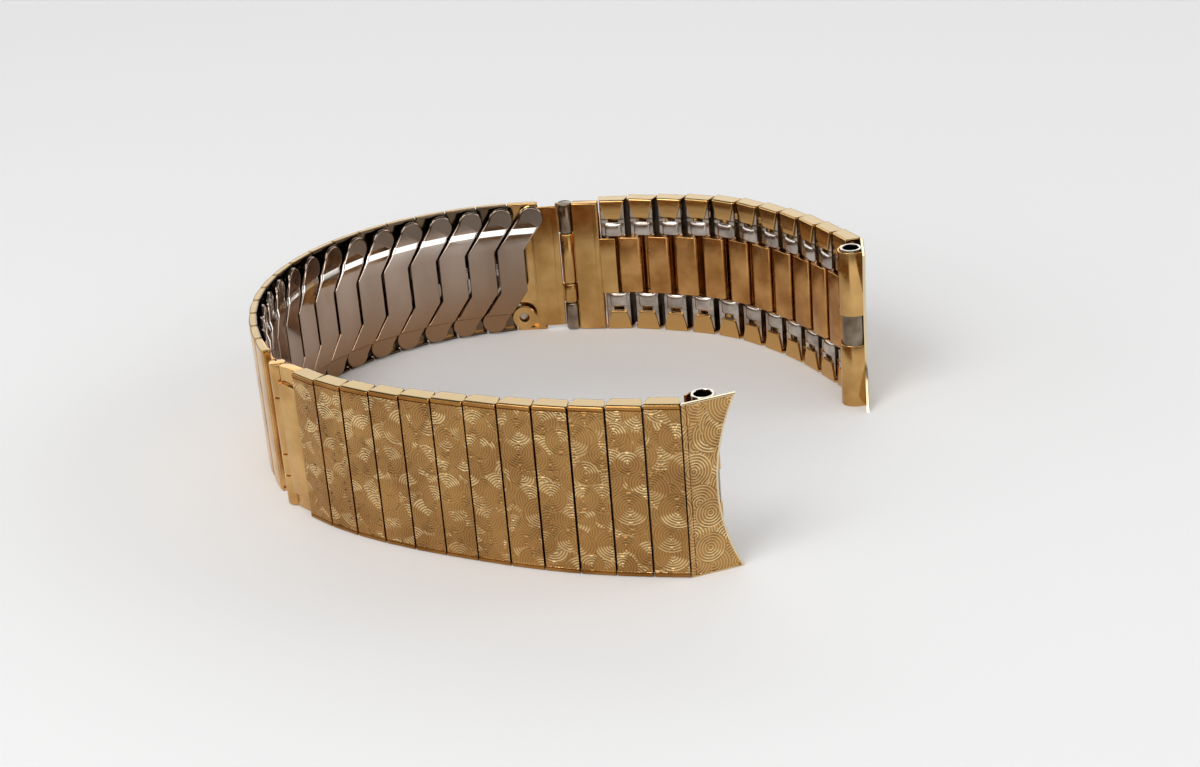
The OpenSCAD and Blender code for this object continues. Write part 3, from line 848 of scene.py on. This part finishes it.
def leaf():
    """Bowed leaf spring inside a shell"""
    near, far = LEAF_X
    loops = []
    for z in np.linspace(-LEAF_HALF, LEAF_HALF, 25):
        y = LEAF_Y + LEAF_BOW * (1 - (z / LEAF_HALF) ** 2)
        loops.append([(near, y, z), (far, y, z), (far, y + LEAF_T, z), (near, y + LEAF_T, z)])
    return Piece().rings(np.array(loops))


# End pieces
def end_cover():
    """Thin engraved cover with a hollowed free edge, its outer and inner y, and its discs"""
    cs, sn = unit(END_BEND)
    edge = LINK_PITCH / 2 - PIN_X + LINK_GAP
    outer = edge * sn + FACE_Y * cs
    inner = outer - SHEET
    near_outer = (edge - outer * sn) / cs
    near_inner = (edge - inner * sn) / cs
    rows = int(END_W / END_CELL)
    cols = int((COVER_REACH - near_outer) / END_CELL)
    v = np.linspace(-HALF_END, HALF_END, rows)
    u = np.linspace(0, 1, cols)
    free = free_edge(v)
    x = near_outer + (free[:, None] - near_outer) * u[None, :]
    z = np.repeat(v[:, None], cols, 1)
    layout = disc_layout(END_SEED, (near_outer, COVER_REACH), HALF_END, *END_DISC)
    depth, _ = engraving(x, z, layout, END_RING)
    from_near, from_free, from_side = x - near_outer, free[:, None] - x, HALF_END - np.abs(z)
    inside = (rise(from_near, 0.5, 0.06) * rise(from_free, 0.22, 0.05)
              * rise(from_side, END_MARGIN, 0.05))
    drop = (FACE_SINK + ENGRAVE * depth) * inside
    drop[(from_near > 0.32) & (from_near < 0.46)] = 0.09
    round_off = 0.06
    for d in (from_near, from_free, from_side):
        t = np.clip(d / round_off, 0, 1)
        drop = np.maximum(drop, round_off * (1 - np.sqrt(1 - (1 - t) ** 2)))
    loops = np.zeros((rows, cols + 2, 3))
    loops[:, :cols] = np.stack([x, outer - drop, z], -1)
    loops[:, cols:, 0] = np.stack([free, np.full(rows, near_inner)], -1)
    loops[:, cols:, 1] = inner
    loops[:, cols:, 2] = v[:, None]
    return Piece().rings(loops), outer, inner, layout


def end_wrap(inner):
    """Sheet rolled round the spring bar tube in two tabs, with the tube bare between them"""
    piece = Piece()
    path = np.array([(1.5, -0.85), (2.1, -1.2), (3.0, -1.36), (3.62, -1.15), (4.0, -0.66),
                     (4.19, -0.1), (4.19, 0.4), (4.05, 0.85), (3.9, inner)])
    t = np.linspace(0, len(path) - 1, 41)
    ring = np.stack([np.interp(t, range(len(path)), path[:, i]) for i in (0, 1)], -1)
    for _ in range(6):
        ring[1:-1] = (ring[:-2] + 2 * ring[1:-1] + ring[2:]) / 4
    tangent = np.gradient(ring, axis=0)
    tangent /= np.linalg.norm(tangent, axis=1)[:, None]
    normal = np.stack([-tangent[:, 1], tangent[:, 0]], -1)
    for lo, hi in ((1.5, HALF_END - 0.25), (-HALF_END, -1.9)):
        loops = []
        for z, thin in ((lo, 0.05), (lo + 0.02, 0.02), (lo + 0.06, 0),
                        (hi - 0.06, 0), (hi - 0.02, 0.02), (hi, 0.05)):
            loop = np.concatenate([ring + normal * thin, (ring + normal * (0.2 - thin))[::-1]])
            loops.append(np.column_stack([loop, np.full(len(loop), z)]))
        piece.rings(np.array(loops))
    return piece


def end_tongue():
    """Knuckle on the last pin, with the tongue that carries the cover"""
    piece = Piece()
    panel = HALF_END - PANEL_INSET
    piece.rod(PANEL_R, -panel, panel, edge=0.08)
    piece.box((0, 2.4), (-PANEL_R, 0.45 - PANEL_R), span(panel), 0.08, 3)
    return piece


# The two runs of fixed links and their end pieces
for side, pre, end_node in ((1, "back", "end_rear"), (-1, "front", "end_front")):
    poses, end, bends = run_poses(side)
    count = len(poses)
    for i, pose in enumerate(poses, 1):
        w = link_width(i, count)
        node = "%s_%d" % (pre, i)
        m = place(pose, w, side)
        layout = disc_layout(100 * (side + 2) + i, span(LINK_HALF), w / 2, *LINK_DISC)
        tints = {"cut": face_cut_and_highlight(FACE_Y, w / 2 - LINK_MARGIN, layout, LINK_RING),
                 "pale": flange_pale(w), "plain": plain(FACE_Y)}
        link_channel(w, layout).finish(node + ".channel", node, m, engraved, GOLD, tints=tints)
        link_core(w).finish(node + ".core", node, m, core_steel, STEEL)
        lap = 0.25 if i < count else 0.12
        link_lap(w, lap).finish(node + ".lap", node, m, gap_shade_steel, STEEL)
        if i < count:
            link_panel(w, bends[i - 1]).finish(node + ".panel", node, m, gold_inner, GOLD)
        if i == 1:
            bar = m @ Matrix.Translation((-BAR_REACH, 0, (SPRING_W - w) / 2))
            hinge_bar().finish(node + ".bar", node, bar, gold, GOLD)
            skin = (dark_steel, STEEL) if side > 0 else (gold, GOLD)
            knuckle(0).finish(node + ".knuckle", node, bar, *skin)
    m = place(end, END_W, side)
    cover, outer_y, inner_y, layout = end_cover()
    tints = {"cut": face_cut_and_highlight(outer_y, HALF_END - END_MARGIN, layout, END_RING, END_DIM),
             "rim": rim_highlight, "plain": plain(outer_y)}
    cover.finish(end_node + ".cover", end_node, m, engraved, GOLD, tints=tints)
    tube = Piece().tube(TUBE_R, TUBE_BORE, -HALF_END, HALF_END, (TUBE_X, inner_y - 1.13), 0.06)
    tube.finish(end_node + ".tube", end_node, m, dark_steel, STEEL, tints={"mouth": tube_mouth})
    end_wrap(inner_y).finish(end_node + ".wrap", end_node, m, gold, GOLD)
    end_tongue().finish(end_node + ".tongue", end_node, m, gold_inner, GOLD)

# The sprung section
plates = {0: "plate_right", LAST_SHELL: "plate_left"}
for k in range(LAST_SHELL + 1):
    m = place(shell_pose[k], SPRING_W)
    node = plates.get(k, "shell_%d" % k)
    tints = {"pale": shell_pale}
    if k not in plates:
        tints["inside"] = shell_inner_shade
    shell_channel().finish(node + ".channel", node, m, gold, GOLD, tints=tints)
    if k not in plates:
        cross_lever().finish(node + ".cross", node, m, core_steel, STEEL)
        if k not in SPRING_NODES:
            leaf().finish(node + ".leaf", node, m, spring_mat, SPRING)
    if k >= 1:
        shell_lap().finish(node + ".lap", node, m, gap_shade_steel, STEEL)
        lever_post(SHELL_BENDS[k - 1]).finish(node + ".post", node, m, core_steel, STEEL)
        tints = {"low": lever_warm_reflection, "high": lever_top_shade, "crease": lever_crease_highlight}
        front_lever().finish("lever_%d.sheet" % k, "lever_%d" % k,
                             place(lever_pose[k], SPRING_W), steel, STEEL, 40, tints)
for k, node in plates.items():
    m = place(shell_pose[k], SPRING_W)
    side = -1 if k == LAST_SHELL else 1
    hinge_plate(side < 0).finish(node + ".plate", node, m, gold, GOLD)
    skin = (dark_steel, STEEL) if side > 0 else (gold, GOLD)
    knuckle(3, (side * PLATE_REACH, 0)).finish(node + ".knuckle", node, m, *skin)
    pin = Piece().rod(BARREL_PIN_R, *span(HALF_SPRING - 0.15), (side * PLATE_REACH, 0))
    pin.finish(node + ".pin", node, m, core_steel, STEEL)

for node, obj in first_piece.items():
    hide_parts(node)

# Nodes that keep their own solids
for k in SPRING_NODES:
    for holder in bpy.data.objects["spring_%d" % k].material_slots:
        holder.material = spring_mat

# Floor
floor_mat = material("floor", (0.9, 0.9, 0.9), 0.0, 0.9, **{"Specular IOR Level": 0.1})
tree = floor_mat.node_tree
speckle = add(tree, "ShaderNodeTexNoise", Scale=3.0, Detail=2.0)
colour = ramp(tree, [(0, (0.88,) * 3), (1, (0.92,) * 3)], speckle.outputs["Fac"])
tree.links.new(colour, tree.nodes["Principled BSDF"].inputs["Base Color"])
bm = bmesh.new()
bmesh.ops.create_grid(bm, x_segments=8, y_segments=8, size=1.2)
me = bpy.data.meshes.new("floor")
bm.to_mesh(me)
bm.free()
me.materials.append(floor_mat)
floor = bpy.data.objects.new("floor", me)
show(floor)

# World: grey by height, with a bright band round the horizon for the metal to mirror
world = bpy.data.worlds.new("studio")
bpy.context.scene.world = world
world.use_nodes = True
tree = world.node_tree
coord = add(tree, "ShaderNodeTexCoord")
split = add(tree, "ShaderNodeSeparateXYZ")
tree.links.new(coord.outputs["Generated"], split.inputs["Vector"])
greys = ((0, 0.12), (0.14, 0.12), (0.19, 2.6), (0.50, 2.6), (0.56, 0.2), (0.8, 0.25), (1, 0.3))
sky = tree.nodes["Background"]
colour = ramp(tree, [(height, (grey,) * 3) for height, grey in greys], split.outputs["Z"])
tree.links.new(colour, sky.inputs["Color"])
sky.inputs["Strength"].default_value = 0.68


def lamp(name, place_at, target, size, power):
    data = bpy.data.lights.new(name, "AREA")
    data.shape = "RECTANGLE"
    data.size, data.size_y = size
    data.energy = power
    obj = bpy.data.objects.new(name, data)
    obj.location = place_at
    aim = Vector(target) - Vector(place_at)
    obj.rotation_euler = aim.to_track_quat("-Z", "Y").to_euler()
    show(obj)


# Lamps: place, target, size and power, in metres and watts
lamp("key", (-0.22, -0.25, 0.42), (0, 0, 0), (0.22, 0.22), 0.9)
lamp("front", (0.0, -0.62, 0.36), (0, 0, 0.01), (0.9, 0.07), 0.9)
lamp("side", (0.50, 0.05, 0.30), (0, 0, 0.01), (0.2, 0.2), 0.3)
lamp("back", (-0.05, 0.45, 0.38), (0, 0, 0.01), (0.5, 0.12), 0.3)

# Camera, as solved from the photo: focal length in the photo's pixels, place in metres
PHOTO_WIDTH, FOCAL_PIXELS, SENSOR = 1200, 2258.89, 36
CAMERA_AT = (0.008601, -0.218464, 0.103820)
YAW, ELEVATION, ROLL = -1.2473, 24.0468, -4.6641
(yaw_c, yaw_s), (tilt_c, tilt_s), (roll_c, roll_s) = unit(YAW), unit(ELEVATION), unit(ROLL)
forward = Vector((yaw_s * tilt_c, yaw_c * tilt_c, -tilt_s))
level = Vector((yaw_c, -yaw_s, 0))
upright = level.cross(forward)
right = level * roll_c + upright * roll_s
up = upright * roll_c - level * roll_s
camera_data = bpy.data.cameras.new("camera")
camera_data.sensor_width = SENSOR
camera_data.lens = SENSOR * FOCAL_PIXELS / PHOTO_WIDTH
camera_data.clip_start = 0.01
camera = bpy.data.objects.new("camera", camera_data)
rotation = Matrix((right, up, -forward)).transposed().to_4x4()
camera.matrix_world = Matrix.Translation(CAMERA_AT) @ rotation
show(camera)
bpy.context.scene.camera = camera
bpy.context.scene.view_settings.view_transform = "Standard"
